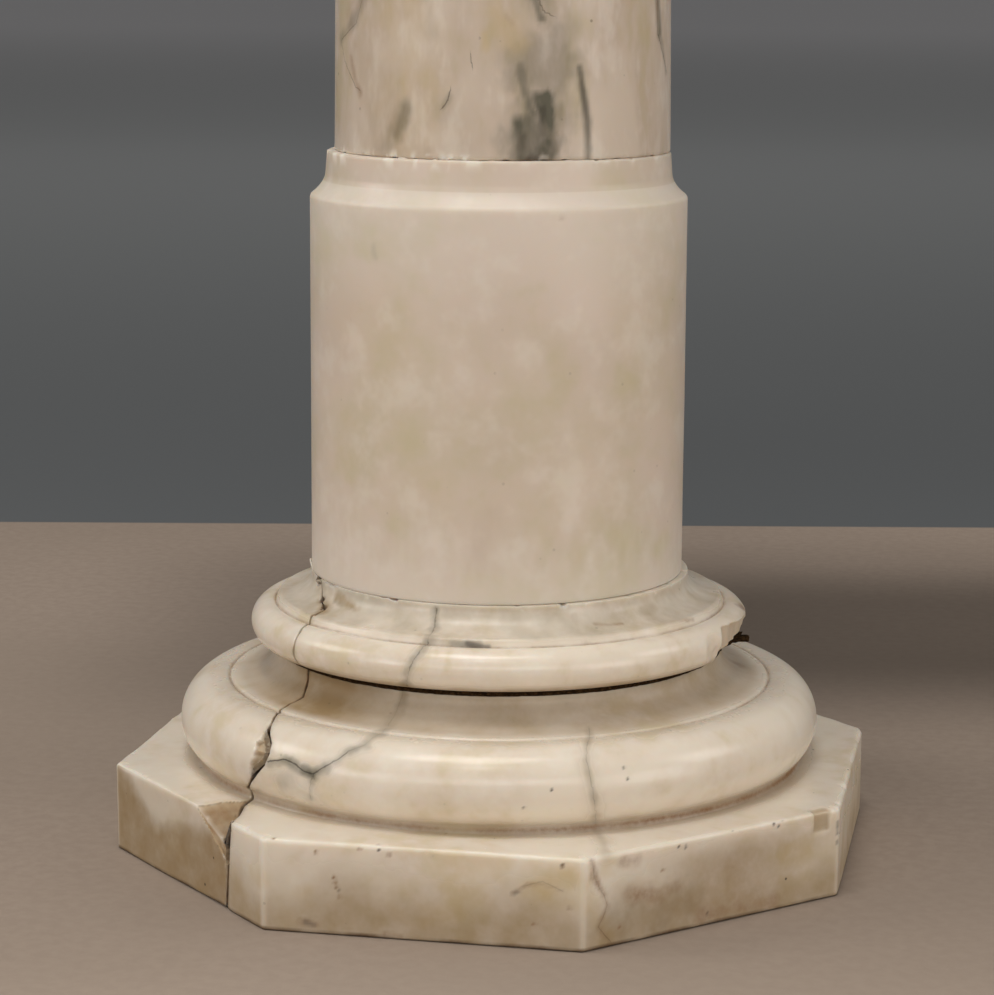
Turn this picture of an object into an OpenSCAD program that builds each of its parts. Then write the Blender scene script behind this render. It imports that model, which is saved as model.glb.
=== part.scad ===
// A turned stone column on an octagonal plinth: base block, mastic bed, ring, drum, shaft and
// capital, stacked on one upright axis. +Z is up, the origin is the middle of the underside, and
// the flats of the octagon face the X and Y axes.

/* [Column] */
// Height of the whole column
column_h = 1050; // [1000:10:1150]
// Width of the lower drum
drum_w = 155.6; // [154:0.2:156]
// Width of the upper shaft at its foot
shaft_w = 137.8; // [136:0.2:139]
// Width of the upper shaft at its head, after its taper
shaft_head_w = 124; // [118:1:134]
// How far the lower drum sits off the axis, towards -X
drum_slip = 1.4; // [0:0.1:1.5]

/* [Base block] */
// Width of the octagonal plinth across its flats
plinth_w = 300; // [294:1:310]
// Height of the plinth
plinth_h = 36.5; // [34:0.5:38]
// Wear along the arrises of the plinth
arris_wear = 2; // [1:0.5:3]
// Width of the lower torus
torus_w = 269; // [266:1:272]
// Radius of the round of the lower torus
torus_round = 17; // [16:0.25:17.5]

/* [Ring] */
// Width of the upper torus
ring_w = 209.3; // [207:0.5:211]
// Radius of the round of the upper torus
ring_round = 8.55; // [8.25:0.05:8.75]
// Height of the ring, from bed to rim
ring_h = 30.1; // [29:0.1:31]
// Thickness of the mastic bed under the ring
bed_t = 2.8; // [2:0.1:3.2]

/* [Drum] */
// Height of the drum
drum_h = 174.5; // [165:0.5:185]
// Height of the recessed neck at the top of the drum
neck_h = 18; // [16:0.5:20]
// How far the neck steps in from the face of the drum
neck_step = 5.6; // [4.8:0.1:6]

/* [Capital] */
// Height of the capital
capital_h = 104; // [98:1:115]
// Width of the octagonal abacus across its flats
abacus_w = 240; // [225:1:255]
// Height of the abacus
abacus_h = 30; // [26:1:34]

/* [Hidden] */
$fn = 96;
over = 1;                            // spare length of a cut past the face it leaves
octagon_angle = 22.5;                // turns the flats to face the axes
torus_sink = 0.5;                    // how deep the round of the lower torus stands in the plinth
torus_z = plinth_h + torus_round - torus_sink;
torus_mid_r = torus_w / 2 - torus_round;
groove_r = torus_mid_r - 3.4;        // groove behind the crest of the lower torus
groove_z = torus_z + torus_round;
bed_z = groove_z + 12;               // top of the base block
bed_r = 93;
ring_z = bed_z + bed_t;              // underside of the ring
ring_mid_r = ring_w / 2 - ring_round;
rim_r = 79.2;
rim_edge = 1.1;                      // upright edge of the rim
crest_r = 92.6;                      // top of the small fillet over the round of the ring
crest_z = ring_z + 20;
drum_z = ring_z + ring_h;
drum_r = drum_w / 2;
shoulder_z = drum_z + drum_h - neck_h;
shoulder_w = 4.4;                    // sloping shoulder between the face of the drum and its neck
shoulder_h = 3.8;
neck_curve = 1.5;                    // how far the neck curves in towards its top
shaft_z = drum_z + drum_h;
capital_z = column_h - capital_h;
abacus_z = column_h - abacus_h;
astragal_round = 5;
necking_h = 34;                      // plain necking between astragal and echinus
annulet_h = 5;                       // flat fillet under the echinus
stone = [0.87, 0.81, 0.72];
grey_stone = [0.82, 0.79, 0.74];
mastic = [0.13, 0.12, 0.11];

// Arc of a circle in the profile plane, from angle a0 to a1 in n steps
function arc(r, z, round, a0, a1, n = 14) =
    [for (i = [0:n]) let (a = a0 + (a1 - a0) * i / n) [r + round * cos(a), z + round * sin(a)]];

// Quarter of an ellipse hollowed out of a profile: it runs from below its centre to beside it
function hollow(r, z, reach, drop, n = 12) =
    [for (i = [0:n]) let (a = 90 * i / n) [r - reach * sin(a), z - drop * cos(a)]];

module octagon_slab(width, height, wear) {
    corner_r = width / 2 / cos(octagon_angle);
    difference() {
        intersection() {
            rotate([0, 0, octagon_angle]) cylinder(h = height, r = corner_r, $fn = 8);
            cylinder(h = height, r = corner_r - wear);
        }
        // worn arrises along the top
        for (k = [0:7])
            rotate([0, 0, 45 * k])
                translate([width / 2, 0, height])
                    rotate([0, 45, 0])
                        cube([wear * sqrt(2), width, wear * sqrt(2)], center = true);
    }
}

// Corner of a cube that bites a three-sided chip out of an arris at an angle round the axis
module bite(angle, r, z, size, lean) {
    rotate([0, 0, angle])
        translate([r, 0, z])
            rotate([45, lean, 20])
                cube(size, center = true);
}

module base() {
    foot_a = -asin((torus_round - torus_sink) / torus_round);
    turned = concat(
        [[0, plinth_h - over], [torus_mid_r + torus_round * cos(foot_a), plinth_h - over]],
        arc(torus_mid_r, torus_z, torus_round, foot_a, 101, 20),
        [[groove_r - 0.6, groove_z - 0.2]],
        hollow(groove_r - 0.8, bed_z - 0.5, groove_r - 0.8 - bed_r, bed_z - groove_z - 0.5),
        [[bed_r, bed_z], [0, bed_z]]);
    color(stone)
        difference() {
            union() {
                octagon_slab(plinth_w, plinth_h, arris_wear);
                rotate_extrude() polygon(turned);
            }
            // chip out of the arris and the gap of the old break, on the plinth's -X -Y face
            bite(234, plinth_w / 2 + 1, plinth_h + 1, 13, 35);
            rotate([0, 0, 225])
                translate([plinth_w / 2 - 5, 33.8, -over])
                    rotate([3, 0, 0])
                        cube([5 + over, 1.5, plinth_h + 2 * over]);
            // lost corner of the plinth on its +X -Y side
            bite(335.5, plinth_w / 2 + 10, plinth_h + 3, 9, 40);
        }
}

module packing() {
    color(mastic)
        translate([0, 0, bed_z])
            cylinder(h = bed_t, r = bed_r + 0.8);
}

module ring() {
    turned = concat(
        [[0, ring_z], [ring_mid_r - 1.2, ring_z]],
        arc(ring_mid_r, ring_z + ring_round, ring_round, -88, 100, 18),
        [[crest_r, crest_z]],
        hollow(crest_r, drum_z - rim_edge, crest_r - rim_r, drum_z - rim_edge - crest_z),
        [[rim_r, drum_z], [0, drum_z]]);
    // section of the piece lost from the underside of the round on the +X side
    lost = [[93, ring_z - over], [93, ring_z + 1.5], [106, ring_z + 9.8], [112, ring_z + 9.8],
        [112, ring_z - over]];
    lost_w = 78;
    color(stone)
        difference() {
            rotate_extrude() polygon(turned);
            rotate([0, 0, 2.8])
                translate([0, lost_w / 2, 0])
                    rotate([90, 0, 0])
                        linear_extrude(height = lost_w) polygon(lost);
            // chipped rim on the -X side, where the old break comes out
            bite(208.5, rim_r + 2.5, drum_z - 1, 7, 30);
        }
}

module drum() {
    neck_r = drum_r - neck_step;
    rim_round = 1;
    curve_z = shoulder_z + shoulder_h + 1.6;
    turned = concat(
        [[0, drum_z], [drum_r, drum_z], [drum_r, shoulder_z - 0.6], [drum_r - 0.5, shoulder_z + 0.2],
         [drum_r - shoulder_w, shoulder_z + shoulder_h]],
        [for (i = [0:8]) let (a = 90 * i / 8)
            [neck_r - neck_curve * sin(a), curve_z + (shaft_z - rim_round - curve_z) * (1 - cos(a))]],
        [[neck_r - neck_curve - rim_round, shaft_z], [0, shaft_z]]);
    color(stone)
        translate([-drum_slip, 0, 0])
            rotate_extrude() polygon(turned);
}

module shaft() {
    color(grey_stone)
        translate([0, 0, shaft_z])
            cylinder(h = capital_z - shaft_z, d1 = shaft_w, d2 = shaft_head_w);
}

module capital() {
    head_r = shaft_head_w / 2;
    necking_z = capital_z + 2 * astragal_round;
    echinus_z = necking_z + necking_h;
    echinus_h = abacus_z - echinus_z;
    echinus_r = abacus_w / 2 - 14;
    flare = echinus_r - head_r - annulet_h;
    turned = concat(
        [[0, capital_z], [head_r, capital_z]],
        arc(head_r, capital_z + astragal_round, astragal_round, -90, 90, 12),
        [[head_r - 1, necking_z], [head_r - 1, echinus_z - annulet_h],
         [head_r + annulet_h, echinus_z - annulet_h], [head_r + annulet_h, echinus_z]],
        [for (i = [1:12]) let (a = 90 * i / 12)
            [head_r + annulet_h + flare * sin(a), echinus_z + echinus_h * (1 - cos(a))]],
        [[echinus_r, abacus_z + over], [0, abacus_z + over]]);
    color(stone) {
        rotate_extrude() polygon(turned);
        translate([0, 0, abacus_z])
            octagon_slab(abacus_w, abacus_h, arris_wear);
    }
}

base();
packing();
ring();
drum();
shaft();
capital();
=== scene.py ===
import math

import bpy
import numpy as np
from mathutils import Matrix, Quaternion, Vector


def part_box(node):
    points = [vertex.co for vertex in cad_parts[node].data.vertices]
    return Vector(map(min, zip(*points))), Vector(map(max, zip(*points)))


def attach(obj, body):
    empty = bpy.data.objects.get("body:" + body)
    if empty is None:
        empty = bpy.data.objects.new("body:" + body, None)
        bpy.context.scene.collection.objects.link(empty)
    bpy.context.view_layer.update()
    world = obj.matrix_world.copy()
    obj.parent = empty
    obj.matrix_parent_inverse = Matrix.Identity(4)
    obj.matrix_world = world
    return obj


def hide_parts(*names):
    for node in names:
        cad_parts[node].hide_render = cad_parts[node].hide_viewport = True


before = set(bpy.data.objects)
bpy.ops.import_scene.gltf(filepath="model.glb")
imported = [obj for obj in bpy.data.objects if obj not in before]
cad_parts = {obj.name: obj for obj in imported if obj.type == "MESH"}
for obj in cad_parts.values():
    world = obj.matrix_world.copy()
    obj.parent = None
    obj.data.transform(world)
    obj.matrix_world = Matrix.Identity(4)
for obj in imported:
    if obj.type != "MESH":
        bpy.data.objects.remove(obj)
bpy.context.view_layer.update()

# Lengths in this script are millimetres until a mesh or a lamp is made; the scene is in metres.
MM = 0.001

# ---------------------------------------------------------------- sizes taken from the frame


def node_box(node):
    """Lowest and highest corner of a CAD node, in millimetres."""
    low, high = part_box(node)
    return np.array(low) / MM, np.array(high) / MM


base_high = node_box("base")[1]
bed_low, bed_high = node_box("packing")
ring_low, ring_high = node_box("ring")
drum_low, drum_high = node_box("drum")
shaft_low, shaft_high = node_box("shaft")
cap_low, cap_high = node_box("capital")

PLINTH_HALF = base_high[0]
DRUM_R = (drum_high[0] - drum_low[0]) / 2
DRUM_X = (drum_high[0] + drum_low[0]) / 2
SHAFT_R = (shaft_high[0] - shaft_low[0]) / 2

# ---------------------------------------------------------------- camera

# The camera stands low in front of the column, one side of it, and looks slightly down at its foot.
CAMERA_BEARING = -78.8
CAMERA_BACK = 15.254 * DRUM_R
CAMERA_HEIGHT = 4.673 * DRUM_R
CAMERA_ASIDE = 0.018 * DRUM_R
CAMERA_DIP = 10.475
CAMERA_ROLL = 0.33
CAMERA_LENS = 103.9


def turned_about(bearing, ahead, aside):
    """Point on the floor plan, ahead of the axis towards a bearing and aside to the right of it."""
    a = math.radians(bearing)
    return (ahead * math.cos(a) - aside * math.sin(a), ahead * math.sin(a) + aside * math.cos(a))


def make_camera():
    data = bpy.data.cameras.new("camera")
    data.lens = CAMERA_LENS
    data.clip_end = 200
    camera = bpy.data.objects.new("camera", data)
    bpy.context.scene.collection.objects.link(camera)
    x, y = turned_about(CAMERA_BEARING, CAMERA_BACK, -CAMERA_ASIDE)
    camera.location = (x * MM, y * MM, CAMERA_HEIGHT * MM)
    tilt = math.radians(90 - CAMERA_DIP)
    turn = math.radians(CAMERA_BEARING + 90)
    camera.rotation_mode = "QUATERNION"
    aim = Quaternion((0, 0, 1), turn) @ Quaternion((1, 0, 0), tilt)
    camera.rotation_quaternion = aim @ Quaternion((0, 0, 1), math.radians(CAMERA_ROLL))
    bpy.context.scene.camera = camera


make_camera()
bpy.context.scene.view_settings.view_transform = "Standard"

# ---------------------------------------------------------------- shader tools


class Wire:
    """A number that varies over a surface. Arithmetic on it adds Math nodes."""

    def __init__(self, bench, socket):
        self.bench = bench
        self.socket = socket

    def math(self, operation, first, second=0.0):
        return self.bench.make("ShaderNodeMath", {"operation": operation}, {0: first, 1: second})

    def __add__(self, other):
        return self.math("ADD", self, other)

    def __radd__(self, other):
        return self.math("ADD", other, self)

    def __sub__(self, other):
        return self.math("SUBTRACT", self, other)

    def __mul__(self, other):
        return self.math("MULTIPLY", self, other)

    def __abs__(self):
        return self.math("ABSOLUTE", self)

    def clipped(self):
        return self.math("MINIMUM", self.math("MAXIMUM", self, 0.0), 1.0)

    def most(self, other):
        return self.math("MAXIMUM", self, other)

    def between(self, low, high):
        """0 at low, 1 at high, smooth in between. low may be above high."""
        sockets = {"Value": self, "From Min": low, "From Max": high}
        settings = {"interpolation_type": "SMOOTHSTEP"}
        return self.bench.make("ShaderNodeMapRange", settings, sockets)


class Bench:
    """The node tree of one material."""

    def __init__(self, material):
        material.use_nodes = True
        self.tree = material.node_tree
        self.tree.nodes.clear()

    def make(self, kind, settings=None, sockets=None, out=0):
        node = self.tree.nodes.new(kind)
        for name, value in (settings or {}).items():
            setattr(node, name, value)
        for key, value in (sockets or {}).items():
            socket = node.inputs[key]
            if isinstance(value, Wire):
                self.tree.links.new(value.socket, socket)
            elif isinstance(value, tuple) and socket.type == "RGBA":
                socket.default_value = (*value, 1)
            else:
                socket.default_value = value
        return Wire(self, node.outputs[out]) if node.outputs else None

    def finish(self, **surface):
        """The shader and the material's output."""
        sockets = {name.replace("_", " "): value for name, value in surface.items()}
        shader = self.make("ShaderNodeBsdfPrincipled", {}, sockets)
        self.make("ShaderNodeOutputMaterial", {}, {"Surface": shader})

    def vector(self, operation, first, second):
        return self.make("ShaderNodeVectorMath", {"operation": operation}, {0: first, 1: second})

    def scaled(self, at, scale):
        return self.make("ShaderNodeVectorMath", {"operation": "SCALE"}, {0: at, "Scale": scale})

    def along(self, at, way):
        """How far a place lies along a direction on the floor plan."""
        sockets = {0: at, 1: (*way, 0)}
        return self.make("ShaderNodeVectorMath", {"operation": "DOT_PRODUCT"}, sockets, out="Value")

    def bump(self, height, distance, strength=1.0):
        sockets = {"Height": height, "Distance": distance, "Strength": strength}
        return self.make("ShaderNodeBump", {}, sockets)

    def place(self):
        """Position on the object, in millimetres."""
        return self.scaled(self.make("ShaderNodeTexCoord", out="Object"), 1 / MM)

    def painted(self, name):
        """A value painted on the mesh."""
        return self.make("ShaderNodeAttribute", {"attribute_name": name}, out="Fac")

    def noise(self, at, size, detail=2.0, rough=0.5, stretch=(1, 1, 1), twist=0.0):
        spread = self.vector("MULTIPLY", at, tuple(s / size for s in stretch))
        sockets = {"Vector": spread, "Scale": 1.0, "Detail": detail, "Roughness": rough}
        sockets["Distortion"] = twist
        return self.make("ShaderNodeTexNoise", sockets=sockets)

    def blend(self, amount, under, over):
        """Colour over laid on colour under, as much as amount says."""
        return self.make("ShaderNodeMix", {"data_type": "RGBA"}, {0: amount, 6: under, 7: over}, out=2)


# ---------------------------------------------------------------- mesh tools


def lattice(cells, seed):
    """Random number from -1 to 1 for each whole-number cell."""
    c = cells.astype(np.int64).astype(np.uint64)
    h = c[..., 0] * np.uint64(73856093) ^ c[..., 1] * np.uint64(19349663) ^ c[..., 2] * np.uint64(83492791)
    h = (h ^ np.uint64(seed * 2654435761)) * np.uint64(6364136223846793005)
    h = (h ^ (h >> np.uint64(29))) * np.uint64(1442695040888963407)
    return ((h >> np.uint64(40)) & np.uint64(0xFFFF)).astype(float) / 32767.5 - 1


def lumps(points, size, seed, octaves=1):
    """Smooth random relief from about -1 to 1, with bumps of the given size."""
    total = np.zeros(points.shape[:-1])
    strength = 1.0
    for octave in range(octaves):
        p = points / size + 17.3 * seed + 1000
        whole = np.floor(p)
        part = p - whole
        part = part * part * (3 - 2 * part)
        value = 0
        for corner in range(8):
            step = np.array([corner & 1, corner >> 1 & 1, corner >> 2 & 1])
            weight = np.prod(np.where(step, part, 1 - part), axis=-1)
            value = value + weight * lattice(whole + step, seed + octave)
        total += strength * value
        strength *= 0.5
        size = size / 2
    return total


def line(start, end, step):
    """Points of a straight stretch of a profile, without its end."""
    count = max(1, round(math.dist(start, end) / step))
    t = np.arange(count)[:, None] / count
    return np.array(start, float) * (1 - t) + np.array(end, float) * t


def sweep(centre, reach, rise, start, end, step):
    """Points of an arc or a piece of an ellipse in a profile, without its end."""
    count = max(2, round(math.radians(abs(end - start)) * (abs(reach) + abs(rise)) / 2 / step))
    a = np.radians(start + (end - start) * np.arange(count) / count)
    return np.stack([centre[0] + reach * np.cos(a), centre[1] + rise * np.sin(a)], 1)


def apart(a, b):
    """Difference between two bearings, from -180 to 180."""
    return (a - b + 180) % 360 - 180


def near(value, reach):
    """1 at 0, falling smoothly to 0 at reach and beyond."""
    t = np.clip(1 - np.abs(value) / reach, 0, 1)
    return t * t * (3 - 2 * t)


def cliff(value, low, high):
    """0 below low, 1 above high, smooth in between."""
    t = np.clip((value - low) / (high - low), 0, 1)
    return t * t * (3 - 2 * t)


def columns(front, behind, breaks=(), fine=(0, 0, 0)):
    """Bearings round the axis: front degrees apart on the camera's side, behind degrees apart at the
    back, and closer beside each break, as fine says."""
    grid = np.linspace(-180, 180, 36001)
    b = (grid[1:] + grid[:-1]) / 2
    step = np.where(near(apart(b, CAMERA_BEARING), 130) > 0.25, front, behind)
    least, more, start = fine
    for middle in breaks:
        off = np.abs(apart(b, middle))
        step = np.minimum(step, least + more * cliff(off, start, 2.2) + 1.2 * cliff(off, 3, 8))
    run = np.concatenate([[0], np.cumsum(0.01 / step)])
    count = round(run[-1])
    return np.interp(np.arange(count) / count * run[-1], run, grid)


def spot_at(bearing, radius, height):
    a = math.radians(bearing)
    return np.array([radius * math.cos(a), radius * math.sin(a), height])


def from_spot(points, spot):
    """Distance of each point from a spot."""
    return np.linalg.norm(points - spot, axis=-1)


def stroke(points, path):
    """Distance of each point from a broken line."""
    best = np.full(points.shape[:-1], 1e9)
    for start, end in zip(path[:-1], path[1:]):
        along = np.subtract(end, start)
        t = np.clip(((points - start) @ along) / (along @ along), 0, 1)
        best = np.minimum(best, np.linalg.norm(points - start - t[..., None] * along, axis=-1))
    return best


class Turning:
    """A closed turned form as a grid of points: one row for each point of the profile, one column
    for each bearing. Both ends of the profile close on the axis."""

    def __init__(self, profile, bearings, flat=None, bends=()):
        self.profile = profile
        self.run = np.concatenate([[0], np.cumsum(np.hypot(*np.diff(profile, axis=0).T))])
        self.bearing = np.tile(bearings, (len(profile), 1))
        self.lines = [self.follow(path) for path, _ in bends]
        for (path, reach), way in zip(bends, self.lines):
            middle = np.mean([b for b, _, _ in path])
            pull = near(apart(bearings, middle), reach)
            self.bearing = self.bearing + (way - middle)[:, None] * pull
        a = np.radians(self.bearing)
        radius = np.repeat(profile[:, :1], len(bearings), 1)
        if flat is not None:
            lobes = [np.clip(np.cos(a - math.radians(45 * k)), 0, None) for k in range(8)]
            eight = sum(lobe ** ARRIS_SHARPNESS for lobe in lobes) ** (-1 / ARRIS_SHARPNESS)
            radius = radius * (flat[:, None] * eight + 1 - flat[:, None])
        height = np.repeat(profile[:, 1:], len(bearings), 1)
        self.points = np.stack([radius * np.cos(a), radius * np.sin(a), height], -1)
        self.still = self.points.copy()
        self.paint = {}

    def follow(self, path):
        """Bearing of a path at each row, from (bearing, radius, height) points."""
        rows = [np.argmin(np.hypot(self.profile[:, 0] - r, self.profile[:, 1] - z)) for _, r, z in path]
        order = np.argsort(rows)
        rows = np.array(rows)[order]
        return np.interp(self.run, self.run[rows], np.array([b for b, _, _ in path])[order])

    def normals(self):
        p = self.points
        across = np.roll(p, -1, 1) - np.roll(p, 1, 1)
        up = np.gradient(p, axis=0)
        n = np.cross(across, up)
        return n / np.maximum(np.linalg.norm(n, axis=-1, keepdims=True), 1e-9)

    def push(self, depth):
        """Moves the surface inwards by depth, in millimetres."""
        self.points = self.points - self.normals() * depth[..., None]

    def add_paint(self, name, amount):
        before = self.paint.get(name, np.zeros(self.points.shape[:2]))
        self.paint[name] = np.clip(np.maximum(before, amount), 0, 1)

    def add_lines(self, lines):
        """Lays fine veins on the surface. Each is (path, half width, strength). The mesh keeps the signed
        distance from the nearest one, in half widths, and how strong it is."""
        outward = self.normals()
        best = np.full(self.points.shape[:2], 1e9)
        self.paint["line"] = np.full(self.points.shape[:2], 30.0)
        self.paint["line_deep"] = np.zeros(self.points.shape[:2])
        for path, width, strength in lines:
            last = len(path) - 2
            for k, (start, end) in enumerate(zip(path[:-1], path[1:])):
                along = np.subtract(end, start)
                span = np.linalg.norm(along)
                t = (self.still - start) @ along / span
                off = self.still - start - np.clip(t, 0, span)[..., None] * along / span
                gap = np.linalg.norm(off, axis=-1)
                side = np.sign(np.einsum("ijk,ijk->ij", np.cross(along, outward), off))
                beyond = np.maximum(-t * (k == 0), (t - span) * (k == last))
                fade = cliff(3 - beyond, 0, 3) * near(gap, 6 * width + 2)
                nearer = gap / width < best
                best = np.where(nearer, gap / width, best)
                signed = np.clip(side * gap / width, -30, 30)
                self.paint["line"] = np.where(nearer, signed, self.paint["line"])
                self.paint["line_deep"] = np.where(nearer, strength * fade, self.paint["line_deep"])

    def smoke(self, path, reach, amount, kind="grey", seed=0, grain=(1, 1, 1)):
        """Soft ragged vein or stain along a path."""
        still = self.still / np.array(grain)
        gap = stroke(self.still, path) + reach * (0.55 * lumps(still, 5, 200 + seed, 3))
        ragged = 0.8 + 0.35 * lumps(still, 9, 300 + seed, 2)
        self.add_paint(kind, near(gap, reach * 1.8) * amount * ragged)

    def marks(self, rows):
        """Lays many veins and stains. Each is (path, reach, amount, kind, seed)."""
        for row in rows:
            self.smoke(*row)

    def mesh(self, name, material):
        rows, cols = self.points.shape[:2]
        middle = self.points.reshape(-1, 3)
        ends = np.array([[0, 0, self.profile[0, 1]], [0, 0, self.profile[-1, 1]]])
        ends[:, :2] = self.points[0, :, :2].mean(0)
        verts = np.concatenate([middle, ends]) * MM
        grid = np.arange(rows * cols).reshape(rows, cols)
        right = np.roll(grid, -1, 1)
        quads = np.stack([grid[:-1], right[:-1], right[1:], grid[1:]], -1).reshape(-1, 4)
        foot = np.stack([right[0], grid[0], np.full(cols, rows * cols)], -1)
        head = np.stack([grid[-1], right[-1], np.full(cols, rows * cols + 1)], -1)
        data = bpy.data.meshes.new(name)
        data.from_pydata(verts.tolist(), [], quads.tolist() + foot.tolist() + head.tolist())
        data.polygons.foreach_set("use_smooth", np.ones(len(data.polygons), bool))
        for layer, amount in self.paint.items():
            values = np.concatenate([amount.reshape(-1), [0, 0]]).astype(np.float32)
            data.attributes.new(layer, "FLOAT", "POINT").data.foreach_set("value", values)
        data.materials.append(material)
        data.update()
        piece = bpy.data.objects.new(name, data)
        bpy.context.scene.collection.objects.link(piece)
        return piece


ARRIS_SHARPNESS = 800

# ---------------------------------------------------------------- stone


def tint(red, green, blue):
    """Colour from its usual 0 to 255 values, in linear light."""
    return tuple(((c / 255 + 0.055) / 1.055) ** 2.4 for c in (red, green, blue))


LIGHT = tint(238, 228, 212)
WARM = tint(230, 217, 200)
HONEY = tint(218, 205, 172)
RUST_AND_SHADE = tint(138, 96, 54)
OCHRE = tint(210, 184, 120)
STAIN_AND_SHADE = tint(158, 134, 97)
SOOT_AND_SHADE = tint(46, 36, 26)
SLATE = tint(100, 97, 82)
CHALK_AND_HIGHLIGHT = tint(246, 240, 230)
RAW = tint(186, 164, 132)


def alabaster(
        name, light=LIGHT, warm=WARM, deep=HONEY, cloud=46, grain=(1, 1, 1), wild=0.0, dull=0.2, seed=0.0):
    """Polished veined alabaster over whatever is painted on the mesh. wild adds veins of its own, and dull
    is how rough its polish has become."""
    material = bpy.data.materials.new(name)
    bench = Bench(material)
    at = bench.place()
    shifted = bench.vector("ADD", at, (seed, seed * 2, seed * 3))
    broad = bench.noise(shifted, cloud, 3, 0.55, grain, 0.6)
    middle = bench.noise(shifted, cloud * 0.28, 3, 0.6, grain)
    fine = bench.noise(shifted, 2.0, 3, 0.62)
    colour = bench.blend(broad.between(0.36, 0.66), light, warm)
    colour = bench.blend((broad * 0.5 + middle * 0.5).between(0.5, 0.68) * 0.7, colour, deep)
    colour = bench.blend(middle.between(0.52, 0.3) * 0.3, colour, CHALK_AND_HIGHLIGHT)
    grey = bench.painted("grey")
    if wild:
        height = bench.make("ShaderNodeSeparateXYZ", sockets={0: at}, out=2)
        above = height.between(362, 400)
        drift = bench.noise(shifted, 70, 4, 0.6, (1, 1, 0.35), 0.5)
        patches = drift.between(0.54, 0.72) * wild
        steep = bench.vector("MULTIPLY", shifted, (1, 1, 0.4))
        run = {"Vector": steep, "Scale": 0.0045, "Distortion": 5.0, "Detail": 4.0, "Detail Scale": 2.2}
        bands = bench.make("ShaderNodeTexWave", {"bands_direction": "DIAGONAL"}, run, out=1)
        threads = bands.between(0.993, 1.0) * drift.between(0.46, 0.64) * wild * 0.8
        grey = grey.most(patches.most(threads) * above)
    colour = bench.blend((grey * (middle * 1.1 + 0.45)).clipped(), colour, SLATE)
    colour = bench.blend((bench.painted("ochre") * (middle + 0.35)).clipped() * 0.7, colour, OCHRE)
    stain_and_shade = bench.painted("stain_and_shade")
    colour = bench.blend((stain_and_shade * (middle * 0.7 + 0.6)).clipped(), colour, STAIN_AND_SHADE)
    raw = bench.painted("raw")
    colour = bench.blend((raw * (fine * 0.8 + 0.4)).clipped(), colour, RAW)
    colour = bench.blend((bench.painted("rust_and_shade") * (fine * 1.3 + 0.25)).clipped(), colour, RUST_AND_SHADE)
    chalk_and_highlight = bench.painted("chalk_and_highlight")
    colour = bench.blend(chalk_and_highlight.clipped() * 0.85, colour, CHALK_AND_HIGHLIGHT)
    strayed = abs(bench.painted("line") + (fine - 0.5) * 2.2 + (middle - 0.5) * 3.0)
    hairs = strayed.between(1.1, 0.2) * bench.painted("line_deep") * (middle * 1.2 + 0.4)
    cells = bench.make("ShaderNodeTexVoronoi", {}, {"Vector": bench.scaled(at, 0.11), "Scale": 1.0})
    pits = cells.between(0.085, 0.045) * middle.between(0.5, 0.58) * bench.painted("pitted")
    dirt_and_shade = bench.painted("dirt_and_shade").most(hairs).most(pits * 0.8).clipped()
    colour = bench.blend(dirt_and_shade, colour, SOOT_AND_SHADE)
    worn = raw * 0.4 + dirt_and_shade * 0.3 + chalk_and_highlight * 0.25 + grey * 0.35 + stain_and_shade * 0.3
    rough = dull + middle * 0.08 + worn
    relief = fine * raw * 0.5 - dirt_and_shade * 0.35
    bench.finish(
        Base_Color=colour, Roughness=rough.clipped(), Normal=bench.bump(relief, 0.0006, 0.6), IOR=1.52,
        Subsurface_Weight=0.4, Subsurface_Radius=(1.0, 0.66, 0.42), Subsurface_Scale=0.006)
    return material


def on(*points):
    """Path on a turned surface from (bearing, radius, height) points."""
    return [spot_at(*p) for p in points]


def on_face(bearing, *points):
    """Path on one upright face of the plinth from (along, height) points."""
    a = math.radians(bearing)
    outward, along = np.array([math.cos(a), math.sin(a), 0]), np.array([-math.sin(a), math.cos(a), 0])
    return [outward * PLINTH_HALF + along * t + np.array([0, 0, z]) for t, z in points]


def settle(piece, node):
    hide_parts(node)
    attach(piece, "root")
    piece.data.set_sharp_from_angle(angle=math.radians(42))


# ---------------------------------------------------------------- base block

BREAK = [
    (-122.8, 150, 0), (-122.4, 150, 12), (-122.0, 150, 25), (-121.6, 150, 33), (-122.9, 147, 36.5),
    (-124.7, 142, 36.5), (-127.8, 134, 36.5), (-129.1, 127, 36.5), (-129.9, 128.6, 40.2),
    (-125.3, 133.9, 48.5), (-122.4, 134.4, 54.4), (-121.7, 133.2, 59.4), (-122.2, 131, 63.2),
    (-124.3, 127.3, 66.9), (-126, 122.3, 69.3), (-130.6, 111.5, 70.2), (-132, 105.3, 71),
    (-131.6, 99.5, 73.2), (-134.1, 95, 76.7), (-135.4, 93.2, 80.2),
]
BREAK_BEHIND = [(-b, r, z) for b, r, z in BREAK]
TORUS_MID = 117.5
TORUS_Z = 53.0
TORUS_ROUND = 17.0
ARRIS_ROUND = 1.5


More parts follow.
